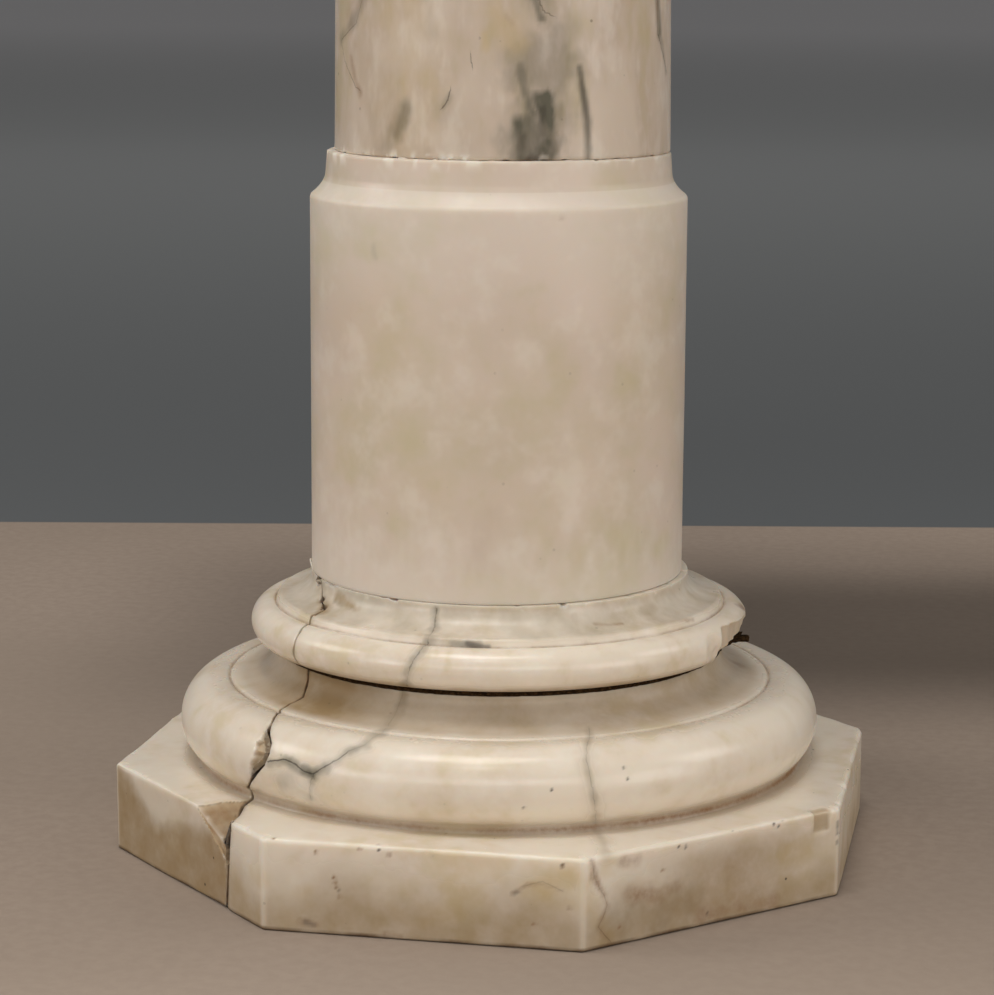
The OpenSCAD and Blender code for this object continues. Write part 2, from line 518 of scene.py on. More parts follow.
def base_profile():
    half, top = PLINTH_HALF, 36.5
    under = line((60, 0), (half - 1, 0), 25)
    toe = sweep((half - 1, 1), 1, 1, -90, 0, 0.5)
    side = line((half, 1), (half, top - ARRIS_ROUND), 1.0)
    arris = sweep((half - ARRIS_ROUND, top - ARRIS_ROUND), ARRIS_ROUND, ARRIS_ROUND, 0, 90, 0.45)
    shelf = line((half - ARRIS_ROUND, top), (128.6, top), 1.2)
    foot_r = [128.6, 128.2, 127.9, 127.8, 127.8]
    foot = np.stack([foot_r, top + np.array([0, 0.2, 0.8, 1.5, 2.3])], 1)
    torus = sweep((TORUS_MID, TORUS_Z), TORUS_ROUND, TORUS_ROUND, -52, 100, 0.72)
    groove = np.array([(114.5, 69.7), (114.1, 69.2), (113.7, 69.25), (113.2, 69.9)])
    hollow = sweep((112.6, base_high[2] - 0.6), 93.2 - 112.6, 70.2 - base_high[2] + 0.6, 90, 0, 1.0)
    lip = np.array([(93.2, base_high[2] - 0.5), (92.9, base_high[2]), (60, base_high[2])])
    square = [under, toe, side, arris]
    round_part = [foot, torus, groove, hollow, lip]
    rounding = 1 - np.arange(len(shelf)) / len(shelf)
    flat = np.concatenate([np.ones(sum(map(len, square))), rounding, np.zeros(sum(map(len, round_part)))])
    return np.concatenate([*square, shelf, *round_part]), flat


def shear_off(points, centre, normal, mask, relief):
    """Cuts the stone back to a plane through centre wherever mask says."""
    n = np.array(normal, float)
    n /= np.linalg.norm(n)
    over = (points - np.array(centre)) @ n + relief
    over = np.clip(over, 0, None) * mask
    return points - over[..., None] * n, over


# bearing, height and size of the filler that came out of the break
FILLER = [(-123.4, 21.5, 2.4), (-123.1, 17.5, 1.6), (-122.9, 11.5, 1.6), (-123.2, 14.0, 1.0)]


def make_base():
    profile, flat = base_profile()
    bearings = columns(0.42, 1.6, (-126.6, 126.6), (0.12, 0.3, 0.7))
    form = Turning(profile, bearings, flat, [(BREAK, 26), (BREAK_BEHIND, 26)])
    still = form.still
    radius = np.hypot(still[..., 0], still[..., 1])
    height = still[..., 2]
    b = form.bearing
    wear_base_arrises(form, radius, height)
    side = open_break(form, radius, height)
    left = cliff(-side, -0.1, 0.15)
    chip_plinth(form, left)
    chip_torus(form, side, height, radius)
    # filler squeezed out of the break on the plinth's face
    for bearing, z, size in FILLER:
        blob = near(from_spot(still, spot_at(bearing, 152.3, z)), size)
        form.push(-0.8 * blob)
        form.add_paint("chalk_and_highlight", blob * 0.7)
    # square flake off the plinth's arris near its +X corner
    along = (still[..., 0] + still[..., 1]) / math.sqrt(2)
    rim = (profile[:, 0] > PLINTH_HALF - 3)[:, None] * (height > 20)
    flake = cliff(4.4 - np.abs(along - 53 - 0.08 * (height - 30)), 0, 0.7) * cliff(height, 27.6, 28.6) * rim
    form.push(0.8 * flake)
    form.add_paint("raw", 0.6 * flake)
    form.add_paint("stain_and_shade", 0.6 * flake)
    paint_base(form, profile, radius, height, b)
    form.add_lines(BASE_LINES)
    return form


def wear_base_arrises(form, radius, height):
    """Worn arrises, paled partly as painted highlight, and slightly uneven faces."""
    still = form.still
    edge = near(np.hypot(form.profile[:, 0] - PLINTH_HALF, form.profile[:, 1] - 36.5), 3.2)[:, None]
    form.push(0.2 * lumps(still, 38, 3) * cliff(radius, 118, 126))
    form.push(edge * (0.1 + 0.25 * lumps(still, 9, 5, 2)))
    nicks = cliff(lumps(still, 3.2, 8), 0.6, 0.85)
    form.push(edge * nicks * 0.8)
    # pale along the top arris: bruised, worn stone and a painted highlight
    form.add_paint("chalk_and_highlight", edge * (0.2 + 0.25 * lumps(still, 16, 6, 2) + 0.4 * nicks))
    # pale line down each corner of the plinth: painted highlight on the worn edge
    corner = near((form.bearing - 22.5 + 22.5) % 45 - 22.5, 0.9) * (height > 1) * (height < 37)
    form.add_paint("chalk_and_highlight", 0.35 * corner * cliff(radius, 155, 160))


def open_break(form, radius, height):
    """The old break: a joint on both ends of a chord, its edges worn round. Gives the distance from the
    front one, less than 0 on the broken-off piece."""
    still = form.still
    sides = []
    for turn, way in zip((1, -1), form.lines):
        side = turn * np.radians(apart(form.bearing, way[:, None])) * radius
        sides.append(side)
        wobble = lumps(still, 4, 11, 2)
        on_plinth = (height < 37) * cliff(radius, 140, 148)
        gap = 0.46 + 0.24 * wobble - 0.1 * on_plinth
        shallow = 1 - 0.6 * near(height - 44, 9)
        form.push(2.6 * shallow * near(side, 1.1 * gap + 0.25) + 0.3 * np.exp(-np.abs(side) / 1.2))
        shoulder = near(height - 37.5, 5) * cliff(radius, 126, 140)
        slump = (0.5 * cliff(radius, 126, 142) + 1.7 * shoulder) * (side > 0)
        form.push(slump * np.exp(-np.abs(side) / 3.2))
        form.push(0.7 * (side < 0) * near(side, 60) * on_plinth)
        form.add_paint("dirt_and_shade", 0.9 * np.exp(-((side + 0.2 * wobble) / (0.6 + 0.28 * wobble)) ** 2))
        form.add_paint("rust_and_shade", 0.75 * np.exp(-np.abs(side) / 1.5) * cliff(wobble, -0.8, 0.4))
    return sides[0]


def chip_plinth(form, left):
    """Chip out of the plinth's arris beside the break."""
    still = form.still
    grit = 0.5 * lumps(still, 6, 21, 2) + 0.15 * lumps(still, 1.8, 22)
    close = (from_spot(still, np.array([-88, -112, 33])) < 30) * (still[..., 2] < 36.6)
    form.points, lost = shear_off(
        form.points, (-98.4, -109.4, 36.5), (0.257, -0.536, 0.804), left * close, grit)
    broken = cliff(lost, 0.05, 0.4)
    form.add_paint("raw", broken * 0.8)
    form.add_paint("stain_and_shade", broken * (0.75 + 0.4 * lumps(still, 5, 23)))
    form.add_paint("rust_and_shade", broken * (cliff(lost, 0.8, 3.5) * 0.4 + 0.3 * lumps(still, 3, 24, 2)))
    form.add_paint("dirt_and_shade", near(lost - 0.25, 0.3) * 0.4 * (lost > 0.01))
    form.smoke(on((-126.4, 140, 36), (-124.2, 147, 31), (-122.8, 151, 25)), 0.8, 0.8, "dirt_and_shade", seed=33)


RECESS = (
    (47.5, 0.0), (49.5, 2.2), (52, 5.2), (54.5, 6.9), (57.5, 7.3), (59.2, 6.6), (60.2, 7.6), (63.0, 6.4),
    (66.0, 2.6), (67.5, 0.0))


def chip_torus(form, side, height, radius):
    """Flake lost from the torus beside the break: its width at each height is in RECESS."""
    still = form.still
    width = np.interp(height, *zip(*RECESS)) + 0.7 * lumps(still, 2.5, 31)
    inside = (side < 0.2) * (radius > 122) * (height > 47.5)
    sunk = cliff(width + side, 0, 0.6) * inside
    depth = 1.3 + 1.5 * np.clip(1 + side / np.maximum(width, 0.5), 0, 1) - 1.0 * near(height - 59.5, 1.6)
    form.push(sunk * (depth + 0.35 * lumps(still, 2.2, 33, 2)))
    form.add_paint("raw", sunk * 0.8)
    form.add_paint("stain_and_shade", sunk * (0.7 + 0.3 * lumps(still, 4, 35)))
    form.add_paint("rust_and_shade", sunk * (0.3 * near(height - 58.4, 1.4) + 0.35 * cliff(side, -3, 0)))


def paint_base(form, profile, radius, height, b):
    still = form.still
    cloudy = lumps(still, 24, 51, 3)
    patchy = lumps(still, 11, 53, 3)
    # painted shade with dirt in the foot of the torus and in the hollow under the ring, and a darker line in
    # the groove on its crest
    at_foot = np.hypot(profile[:, 0] - 128.0, profile[:, 1] - 37.9)
    right_side = near(apart(b, -15), 50)
    foot_shade_and_dirt = 0.6 + 0.25 * lumps(still, 14, 41, 2) + 0.4 * right_side
    form.add_paint("rust_and_shade", near(at_foot, 2.4)[:, None] * foot_shade_and_dirt)
    form.add_paint("stain_and_shade", near(at_foot, 7)[:, None] * (0.35 + 0.25 * right_side))
    in_groove = near(np.hypot(profile[:, 0] - 113.9, profile[:, 1] - 69.3), 1.4)[:, None]
    form.add_paint("rust_and_shade", in_groove * (0.4 + 0.3 * lumps(still, 12, 43)))
    # the hollow is painted darker as shade under the ring's overhang, darkest on the left, with some dirt
    hollow = cliff(radius, 113, 106) * cliff(radius, 92, 93) * (height > 66)
    form.add_paint("stain_and_shade", hollow * (0.46 + 0.07 * cloudy + 0.55 * near(apart(b, -126), 30)))
    form.add_paint("rust_and_shade", hollow * 0.1)
    gloom = 0.14 + 0.1 * patchy + 0.15 * near(apart(b, -128), 26)
    form.add_paint("grey", hollow * cliff(height, 73, 81) * gloom)
    form.add_paint("rust_and_shade", 0.55 * near(from_spot(still, spot_at(12, 101, 72.5)), 9) * (patchy > -0.6))
    form.add_paint("stain_and_shade", 0.12 * cliff(radius, 106, 110) * near(height - 70, 2))
    # brownish and darker towards the bottom of the plinth's faces, darker on the broken-off piece
    on_side = cliff(radius, 145, 149.4) * (height < 36)
    low_darkening = cliff(34 - height + 5 * cloudy + patchy, 0, 30) * on_side
    form.add_paint("stain_and_shade", low_darkening * 0.72)
    form.add_paint("rust_and_shade", low_darkening * 0.05)
    form.add_paint("rust_and_shade", low_darkening * cliff(patchy, 0.2, 1.2) * 0.12)
    # a dark line along the foot of each face: dirt, and painted contact shade where the plinth meets the
    # floor
    form.add_paint("rust_and_shade", on_side * near(height, 2.6) * (0.5 + 0.5 * patchy))
    form.add_paint("dirt_and_shade", on_side * near(height, 1.7 + 0.6 * patchy) * 0.9)
    form.add_paint("ochre", on_side * cliff(patchy - cloudy, 0.1, 1.2) * 0.45)
    piece = cliff(18 - np.abs(apart(b, -139.6)), 0, 0.5) * on_side
    slant = (still[..., 0] - still[..., 1]) / math.sqrt(2)
    wedge = np.maximum(36 - 0.6 * (slant + 50), 21 + 0.29 * (slant + 25))
    low_part = piece * cliff(wedge - height + 2.5 * patchy, -5, 8)
    form.add_paint("stain_and_shade", 0.88 * low_part)
    form.add_paint("stain_and_shade", 0.3 * piece)
    form.add_paint("rust_and_shade", low_part * (0.1 + 0.1 * cliff(slant, 5, 30)))
    form.add_paint("grey", 0.2 * low_part)
    right = near(apart(b, -40), 26) * on_side
    form.add_paint("stain_and_shade", right * (0.62 + 0.06 * cloudy) * cliff(height, 37, 25))
    form.add_paint("rust_and_shade", right * 0.13 * cliff(height, 36, 22) * (1 + 0.4 * cloudy))
    form.marks(BASE_MARKS)
    form.add_paint("pitted", 0.25 + 0.75 * (height < 37))
    for path, size, kind in BASE_PITS:
        for place in path:
            form.add_paint(kind, 1.1 * near(from_spot(still, place), size))


BRANCH = on(
    (-121.3, 134.2, 56.5), (-117.7, 133.5, 58.7), (-115.4, 133.7, 58.1), (-113.3, 134.2, 56.3),
    (-111.2, 134.3, 55.5), (-108.9, 133.1, 59.6), (-106.7, 131.0, 63.0), (-105.3, 128.5, 66.0))
BRANCH_DOWN = on((-111.4, 134.4, 55), (-112.2, 132.7, 45.5))
CROSS_VEIN = on(
    (-105.6, 129.1, 65.4), (-103.1, 125.6, 67.9), (-102.3, 117.0, 70.0), (-103.3, 103.3, 71.7),
    (-103.6, 95.5, 76.2), (-103.0, 93.2, 80.5))
HAIRLINE = on(
    (-59.3, 105.2, 71.1), (-60.9, 114.5, 69.7), (-62.8, 122.4, 69.3), (-63.9, 129.2, 65.3),
    (-63.7, 133.5, 58.6), (-63.1, 134.3, 50.8), (-62.1, 129.9, 41.4), (-61.5, 126, 36.6),
    (-62.5, 142, 36.6), (-64, 158, 36.5))
PLINTH_HAIR = on_face(
    315, (-58.5, 36.0), (-57.5, 29.4), (-55.1, 24.7), (-52.3, 20.3), (-51.0, 16.7), (-53.0, 12.5),
    (-55.3, 9.1), (-52, 4.9), (-48.3, 0.7))
BASE_MARKS = [
    (on_face(315, (-20, 16), (-8, 14)), 5, 0.35, "grey", 17),
    (on_face(315, (-6, 4), (30, 3)), 3.5, 0.45, "rust_and_shade", 18),
    (BRANCH, 1.9, 0.62, "grey", 1),
    (BRANCH[3:6], 2.4, 0.8, "grey", 2),
    (CROSS_VEIN, 2.6, 0.65, "grey", 3),
    (BRANCH_DOWN, 1.8, 0.45, "grey", 4),
    (HAIRLINE, 1.3, 0.34, "grey", 5),
    (HAIRLINE, 3.2, 0.3, "stain_and_shade", 6),
    (PLINTH_HAIR, 1.3, 0.6, "rust_and_shade", 7),
    (on_face(270, (46, 26), (56, 28)), 7.5, 1.0, "ochre", 8),
    (on_face(270, (34.9, 21.7), (41, 25.5), (46.7, 26), (53.9, 23.8)), 0.7, 0.42, "rust_and_shade", 9),
    (on_face(270, (35.5, 21.5), (37.5, 22.3)), 0.6, 0.4, "dirt_and_shade", 19),
    (on_face(315, (-40, 20), (-28, 17), (-18, 18)), 3.5, 0.5, "rust_and_shade", 10),
    (on_face(315, (-48, 10), (-30, 9), (-14, 12)), 7, 0.5, "grey", 11),
    (on_face(315, (-45, 33), (-38, 32)), 2.2, 0.4, "rust_and_shade", 12),
    (on_face(270, (-48, 5), (-40, 3.5)), 2.8, 0.9, "stain_and_shade", 13),
    (on_face(270, (-47, 4.5), (-41, 3.5)), 1.8, 0.35, "rust_and_shade", 37),
    (on_face(270, (-45, 4.5), (-42, 3.5)), 1.0, 0.6, "dirt_and_shade", 34),
    (on_face(270, (-31, 3.5), (-25, 3)), 1.8, 0.8, "stain_and_shade", 14),
    (on_face(270, (-14, 2), (-8, 1.5)), 1.4, 0.7, "rust_and_shade", 35),
    (on_face(270, (5, 7), (40, 6)), 5, 0.45, "stain_and_shade", 15),
    (on((-116, 133.8, 50), (-113, 133.6, 46)), 6.5, 0.28, "grey", 16),
]
BASE_LINES = [
    (BRANCH, 0.45, 0.6), (BRANCH_DOWN, 0.4, 0.25), (CROSS_VEIN, 0.4, 0.15), (HAIRLINE[:7], 0.35, 0.24),
    (PLINTH_HAIR, 0.35, 0.24),
    (on_face(270, (39, 24.5), (46.7, 27), (53.9, 23.8)), 0.3, 0.18),
]
BASE_PITS = [
    (on_face(270, (-34, 23.2), (-32.8, 19.4), (-31.7, 15.5), (-33.6, 21.3)), 1.15, "rust_and_shade"),
    (on_face(270, (43.4, 10.2), (57, 17.4)), 1.15, "rust_and_shade"),
    (on_face(270, (-32.2, 17.6), (-32.8, 19.4), (4.9, 34.4)), 0.75, "dirt_and_shade"),
    (on_face(270, (-41, 32.6), (-23.8, 35), (54.2, 33.6), (-12.5, 33.5)), 1.2, "rust_and_shade"),
    (on_face(270, (-16.5, 35), (54.2, 33.6)), 0.9, "dirt_and_shade"),
    (on_face(315, (-25.2, 26.1), (-3.1, 4.6), (-45.1, 7.2)), 1.2, "rust_and_shade"),
    (on_face(315, (-3.1, 4.6), (-58.3, 35.6), (8.9, 36.3)), 0.9, "dirt_and_shade"),
    (on_face(315, (28.7, 35.4), (31.0, 34.3), (32.9, 36.0), (-14.4, 33.4), (-18, 34)), 0.95, "dirt_and_shade"),
    (on((-74.7, 134.0, 48.8), (-57.5, 132.0, 61.8)), 0.9, "dirt_and_shade"),
    (on((-57.1, 133.8, 57.8), (-70.2, 134.3, 55.7)), 0.9, "dirt_and_shade"),
    ([spot_at(-22.6, 161.9, z) for z in (30.5, 28.6, 26.4, 22.5)], 1.3, "dirt_and_shade"),
    ([spot_at(-21.2, 160.4, z) for z in (29.5, 27.2, 31.8)], 1.1, "rust_and_shade"),
    ([np.array([-17, -148, 36.5]), np.array([5, -129, 36.5]), np.array([-58, -149, 36.5])], 1.1, "rust_and_shade"),
]
base_stone = alabaster("base stone", seed=3.0)
base = make_base().mesh("base_block", base_stone)
settle(base, "base")

# ---------------------------------------------------------------- mastic bed


def make_packing():
    low, high = bed_low[2], bed_high[2]
    reach = 94.0
    profile = np.concatenate([
        line((60, low), (reach - 0.6, low), 8),
        line((reach - 0.6, low), (reach, low + 0.4), 0.3),
        line((reach, low + 0.4), (reach, high - 0.4), 0.35),
        line((reach, high - 0.4), (reach - 0.6, high), 0.3),
        line((reach - 0.6, high), (60, high), 8)])
    form = Turning(profile, columns(0.35, 0.35))
    still = form.still
    radius = np.hypot(still[..., 0], still[..., 1])
    rim = cliff(radius, 80, 94)
    squeezed = near(apart(form.bearing, 13.5), 9.5) * (0.9 + 0.3 * lumps(still, 3, 61, 2))
    thinned = form.still[..., 2] - (low + high) / 2
    form.points[..., 2] -= rim * cliff(squeezed, 0.1, 0.5) * thinned * 0.35
    out = rim * (np.clip(squeezed, 0, 1) * 12 + 0.35 * lumps(still, 2.4, 63, 2))
    a = np.radians(form.bearing)
    form.points[..., 0] += out * np.cos(a)
    form.points[..., 1] += out * np.sin(a)
    form.points[..., 2] += rim * cliff(squeezed, 0.1, 0.8) * (0.2 + 0.8 * lumps(form.points, 1.8, 65, 2))
    return form


def mastic_finish():
    material = bpy.data.materials.new("mastic")
    bench = Bench(material)
    at = bench.place()
    crumbs = bench.noise(at, 1.3, 4, 0.7)
    colour = bench.blend(crumbs.between(0.4, 0.7), tint(34, 22, 10), tint(74, 54, 32))
    bench.finish(
        Base_Color=colour, Roughness=0.95, Specular_IOR_Level=0.1, Normal=bench.bump(crumbs, 0.001))
    return material


packing = make_packing().mesh("mastic_bed", mastic_finish())
settle(packing, "packing")

# ---------------------------------------------------------------- ring

RING_ROUND = 8.55
RING_MID = ring_high[1] - RING_ROUND
RING_BREAK = [
    (-151.1, 79, 114.4), (-148, 79.2, 113), (-141.7, 82.3, 107.9), (-135.4, 85.1, 106.3),
    (-133.8, 94.1, 102.1), (-131.2, 101.7, 99.8), (-131, 104.4, 95.3), (-131.5, 104.4, 91.4),
    (-131.7, 100, 86)]


# bearing, radius, height, size and depth of the holes along the break
RING_HOLES = [(-141.5, 82.4, 108.4, 3.0, 1.3), (-137.0, 84.6, 106.4, 3.2, 1.6), (-134.2, 91, 103.6, 2.4, 1.1)]


def ring_profile():
    low, high = ring_low[2], ring_high[2]
    crest = low + 20
    under = line((55, low), (RING_MID - 1.2, low), 6)
    torus = sweep((RING_MID, low + RING_ROUND), RING_ROUND, RING_ROUND, -86, 98, 0.5)
    groove = np.array([(94.8, low + 16.9), (94.4, low + 16.6), (94.1, low + 17.1), (93.9, low + 17.7)])
    fillet = line((93.6, low + 18.3), (92.8, crest), 0.6)
    cove = sweep((92.2, high - 1.1), 79.0 - 92.2, crest + 0.2 - high + 1.1, 90, 0, 0.55)
    rim = line((79.0, high - 1.0), (79.1, high - 0.3), 0.35)
    top = line((78.2, high), (55, high), 6)
    return np.concatenate([under, torus, groove, fillet, cove, rim, [(79.0, high - 0.1), (78.6, high)], top])


def make_ring():
    profile = ring_profile()
    behind = [(-b, r, z) for b, r, z in RING_BREAK]
    bearings = columns(0.3, 1.3, (-140.6, 140.6), (0.14, 0.2, 0.8))
    form = Turning(profile, bearings, None, [(RING_BREAK, 40), (behind, 40)])
    still = form.still
    radius = np.hypot(still[..., 0], still[..., 1])
    height = still[..., 2]
    low, high = ring_low[2], ring_high[2]
    # chipped rim
    rim = near(height - high, 2.2) * (radius > 77.5) * (radius < 82)
    nick = cliff(lumps(still, 4.5, 71, 2), 0.35, 0.9)
    form.push(rim * nick * 1.3)
    form.add_paint("chalk_and_highlight", rim * (0.25 + 0.75 * nick))
    # the break that runs on from the base block
    for way in form.lines:
        side = np.radians(apart(form.bearing, way[:, None])) * radius
        wobble = lumps(still, 4, 73)
        form.push(1.8 * near(side, 0.55 + 0.2 * wobble) + 0.3 * np.exp(-np.abs(side) / 1.1))
        form.add_paint("dirt_and_shade", np.exp(-(side / (0.42 + 0.15 * wobble)) ** 2) * 0.8)
        form.add_paint("rust_and_shade", 0.4 * np.exp(-np.abs(side) / 1.6) * cliff(wobble, -0.5, 0.5))
    for bearing, r, z, size, deep in RING_HOLES:
        hole = near(from_spot(still, spot_at(bearing, r, z)), size)
        form.push(hole * deep * (0.8 + 0.5 * lumps(still, 1.5, 77)))
        form.add_paint("rust_and_shade", hole * 0.9)
        form.add_paint("dirt_and_shade", cliff(hole, 0.5, 1) * 0.6)
    # rim broken away where the break comes out
    gone = near(from_spot(still, spot_at(-150.5, 80, high)), 5.5)
    form.push(cliff(gone, 0.1, 0.6) * 2.2)
    form.add_paint("raw", cliff(gone, 0.1, 0.5) * 0.6)
    spike = near(apart(form.bearing, -166), 9) * cliff(height, high - 3, high) * cliff(radius, 78, 78.6)
    form.points *= (1 + spike * 0.014)[..., None] * np.array([1, 1, 0]) + np.array([0, 0, 1])
    form.points[..., 2] += 3.4 * spike
    form.add_paint("chalk_and_highlight", 0.5 * spike)
    break_off_round(form, low)
    paint_ring(form, profile, low, radius)
    form.add_lines([(RING_VEIN, 0.5, 0.4)])
    return form


def break_off_round(form, low):
    """Piece lost from the round on the +X side: a chord of the round, and more of its underside."""
    still, b = form.still, form.bearing
    height = still[..., 2]
    bearing_from, bearing_to = -19.5, 13.0
    middle, half = (bearing_from + bearing_to) / 2, math.radians(bearing_to - bearing_from) / 2
    shell = 0.8 * lumps(still, 7, 81, 2) + 0.3 * lumps(still, 1.7, 83)
    across = np.cos(np.radians(apart(b, middle)))
    chord = 104.6 * math.cos(half) / np.maximum(across, 0.5) + 0.5 * shell - 1.3 * near(apart(b, -16), 4)
    chord = chord + 6 * cliff(height, low + 11, low + 16) * cliff(b, -14, 0)
    chord = np.where(height > low + 15.5, 200, chord)
    underside = 94.6 + np.clip(height - (low + 1.4), 0, None) * 1.5 + shell
    underside = np.where(height > low + 13, 200, underside)
    ends = cliff(b, bearing_from - 0.4, bearing_from + 0.4) * cliff(28 - b, 0, 6)
    now = np.hypot(form.points[..., 0], form.points[..., 1])
    cut = np.clip(now - np.minimum(chord, underside), 0, None) * ends
    form.points[..., 0] -= cut * np.cos(np.radians(b))
    form.points[..., 1] -= cut * np.sin(np.radians(b))
    form.add_paint("raw", cliff(cut, 0.05, 0.5) * 0.5)
    form.add_paint("stain_and_shade", cliff(cut, 0.05, 0.5) * (0.35 + 0.3 * lumps(still, 6, 87)))
    # shallow shells flaked off the round beside it
    for bearing, z, size, deep in ((-22.6, 93.5, 6.5, 0.5), (-21.0, 89.5, 5.0, 0.6)):
        flake = 1 - from_spot(still, spot_at(bearing, 104.2, z)) / size
        form.push(np.clip(flake, 0, 0.5) * 2 * deep * (b < -19.2))
        form.add_paint("raw", cliff(flake, 0, 0.1) * 0.15)


def paint_ring(form, profile, low, radius):
    still = form.still
    height = still[..., 2]
    patchy = lumps(still, 10, 85, 3)
    in_groove = near(np.hypot(profile[:, 0] - 94.4, profile[:, 1] - low - 16.8), 1.3)[:, None]
    form.add_paint("rust_and_shade", in_groove * (0.4 + 0.3 * patchy))
    # painted shade in the cove under the drum, with a little dirt
    cove = cliff(radius, 94, 92) * (height > low + 17) * (radius > 78)
    form.add_paint("grey", cove * (0.17 + 0.1 * patchy))
    form.add_paint("stain_and_shade", cove * (0.12 + 0.1 * patchy))
    form.add_paint("stain_and_shade", 0.5 * cliff(low + 4.5 - height, 0, 4) * (radius > 92) * (1 + 0.4 * patchy))
    form.add_paint("rust_and_shade", 0.35 * cliff(low + 2.2 - height, 0, 2) * (radius > 93))
    form.add_paint("pitted", 0.3)
    form.marks(RING_MARKS)


RING_VEIN = on(
    (-97.4, 79.1, 112.6), (-97.3, 81, 109.5), (-96.6, 83.7, 107), (-96.2, 93.9, 102.5), (-97, 101.8, 99.8),
    (-98.3, 104.5, 95), (-99.9, 100.8, 86.3))
RING_MARKS = [
    (on((-134.5, 79.6, 110.7), (-129, 80.5, 110), (-124, 81.7, 108.4)), 2.6, 0.75, "stain_and_shade", 21),
    (on((-134.5, 81, 109), (-130, 81, 109)), 1.8, 0.5, "grey", 22),
    (on((-141, 82.5, 108.5), (-136.5, 84.5, 106.5), (-134, 88, 105)), 3.2, 0.75, "stain_and_shade", 32),
    (on((-139, 83, 107.6), (-136, 85, 106)), 2.2, 0.55, "grey", 36),
    (RING_VEIN, 2.2, 0.6, "grey", 23),
    (on((-96, 92, 103.3), (-91, 93, 103)), 2.6, 0.55, "grey", 24),
    (on((-86.5, 93.4, 103.0), (-83.5, 94.2, 102.4), (-81.5, 94.3, 102.2)), 1.0, 0.9, "dirt_and_shade", 25),
    (on((-90, 93.4, 103), (-84, 94, 102.6)), 1.8, 0.6, "grey", 26),
    (on((-52, 83.8, 107), (-47.8, 85.1, 106.3), (-44.1, 85.5, 106.2)), 0.8, 0.85, "rust_and_shade", 27),
    (on((-27.6, 92.4, 104.4), (-21.7, 93.2, 103.6)), 0.8, 0.5, "rust_and_shade", 28),
    (on((-29, 80.8, 109.6), (-33, 82, 108)), 3.2, 0.5, "stain_and_shade", 29),
    (on((-57, 80, 110), (-58, 88, 105), (-57.5, 94, 102)), 1.6, 0.35, "stain_and_shade", 30),
    (on((5, 101, 99), (9, 102, 98)), 2.2, 0.8, "rust_and_shade", 31),
]
ring_stone = alabaster("ring stone", cloud=34, seed=11.0)
ring = make_ring().mesh("upper_torus_ring", ring_stone)
settle(ring, "ring")

# ---------------------------------------------------------------- drum

NECK_H = 18.0


def drum_profile():
    low, high = drum_low[2], drum_high[2]
    shoulder = high - NECK_H
    r = DRUM_R
    foot = np.array([(50, low), (r - 0.7, low), (r - 0.2, low + 0.25), (r, low + 0.8)])
    face = line((r, low + 1.6), (r, shoulder - 1.2), 1.3)
    edge = np.array([r, shoulder]) + [(0, -1.1), (-0.12, -0.5), (-0.4, 0.1), (-0.85, 0.6)]
    t = np.arange(1, 20)[:, None] / 20
    start, pull, end = np.array([r, shoulder]) + [(-0.85, 0.6), (-5.5, 4.0), (-6.4, 8.2)]
    slope = (1 - t) ** 2 * start + 2 * t * (1 - t) * pull + t ** 2 * end
    neck = line((r - 6.4, shoulder + 8.2), (r - 7.1, high - 1), 0.7)
    lip = np.array([r, high]) + [(-7.1, -1), (-7.25, -0.5), (-7.6, -0.15), (-8.1, 0)]
    return np.concatenate([foot, face, edge, slope, neck, lip, [(50, high)]])


def make_drum():
    profile = drum_profile()
    form = Turning(profile, columns(0.75, 1.6))
    still = form.still
    high = drum_high[2]
    form.push(0.12 * lumps(still, 40, 91))
    smears = lumps(still * np.array([1, 1, 0.4]), 4, 93, 2)
    left = cliff(apart(form.bearing, -84), 4, -10)
    rim = near(still[..., 2] - high, 2.0)
    form.push(rim * cliff(smears, 0.35, 0.9) * 0.5)
    smeared = cliff(smears, 0.05, 0.5) * (0.35 + 0.65 * left)
    form.add_paint("chalk_and_highlight", near(still[..., 2] - high, 5.5) * smeared)
    crumbs = cliff(lumps(still, 2.4, 97, 2), 0.45, 0.8) * near(still[..., 2] - high, 1.6)
    form.push(-0.5 * crumbs * (0.3 + 0.7 * left))
    # painted highlight along the shoulder's edge
    form.add_paint("chalk_and_highlight", 0.25 * near(still[..., 2] - (high - NECK_H + 0.2), 1.6))
    pale = cliff(still[..., 2], high - NECK_H - 48, high - NECK_H + 2) * (still[..., 2] < high - 12)
    form.add_paint("chalk_and_highlight", 0.38 * pale)
    form.add_paint("chalk_and_highlight", 0.3 * cliff(drum_low[2] + 34 + 9 * smears - still[..., 2], 0, 30))
    form.add_paint("stain_and_shade", 0.14 * near(still[..., 2] - 205, 60) * cliff(lumps(still, 38, 95, 2), -0.2, 1.0))
    form.add_paint("ochre", 0.2 * near(still[..., 2] - 200, 75) * cliff(lumps(still, 44, 99, 2), -0.4, 0.9))
    form.add_paint("pitted", 0.2)
    form.points[..., 0] += DRUM_X
    form.smoke(on((-60, DRUM_R, 268), (-61, DRUM_R, 268)), 0.7, 0.6, "rust_and_shade", seed=41)
    form.smoke(on((-84, DRUM_R, 130), (-80, DRUM_R, 150)), 5, 0.12, "stain_and_shade", seed=42, grain=(1, 1, 3))
    form.smoke(on((-118, DRUM_R, 255), (-117, DRUM_R, 251)), 1.5, 0.3, "grey", seed=43)
    return form


drum_stone = alabaster(
    "drum stone", light=tint(223, 208, 194), warm=tint(215, 202, 182), deep=tint(206, 196, 162), cloud=75,
    dull=0.33, seed=27.0)
drum = make_drum().mesh("lower_drum", drum_stone)
settle(drum, "drum")

# ---------------------------------------------------------------- shaft

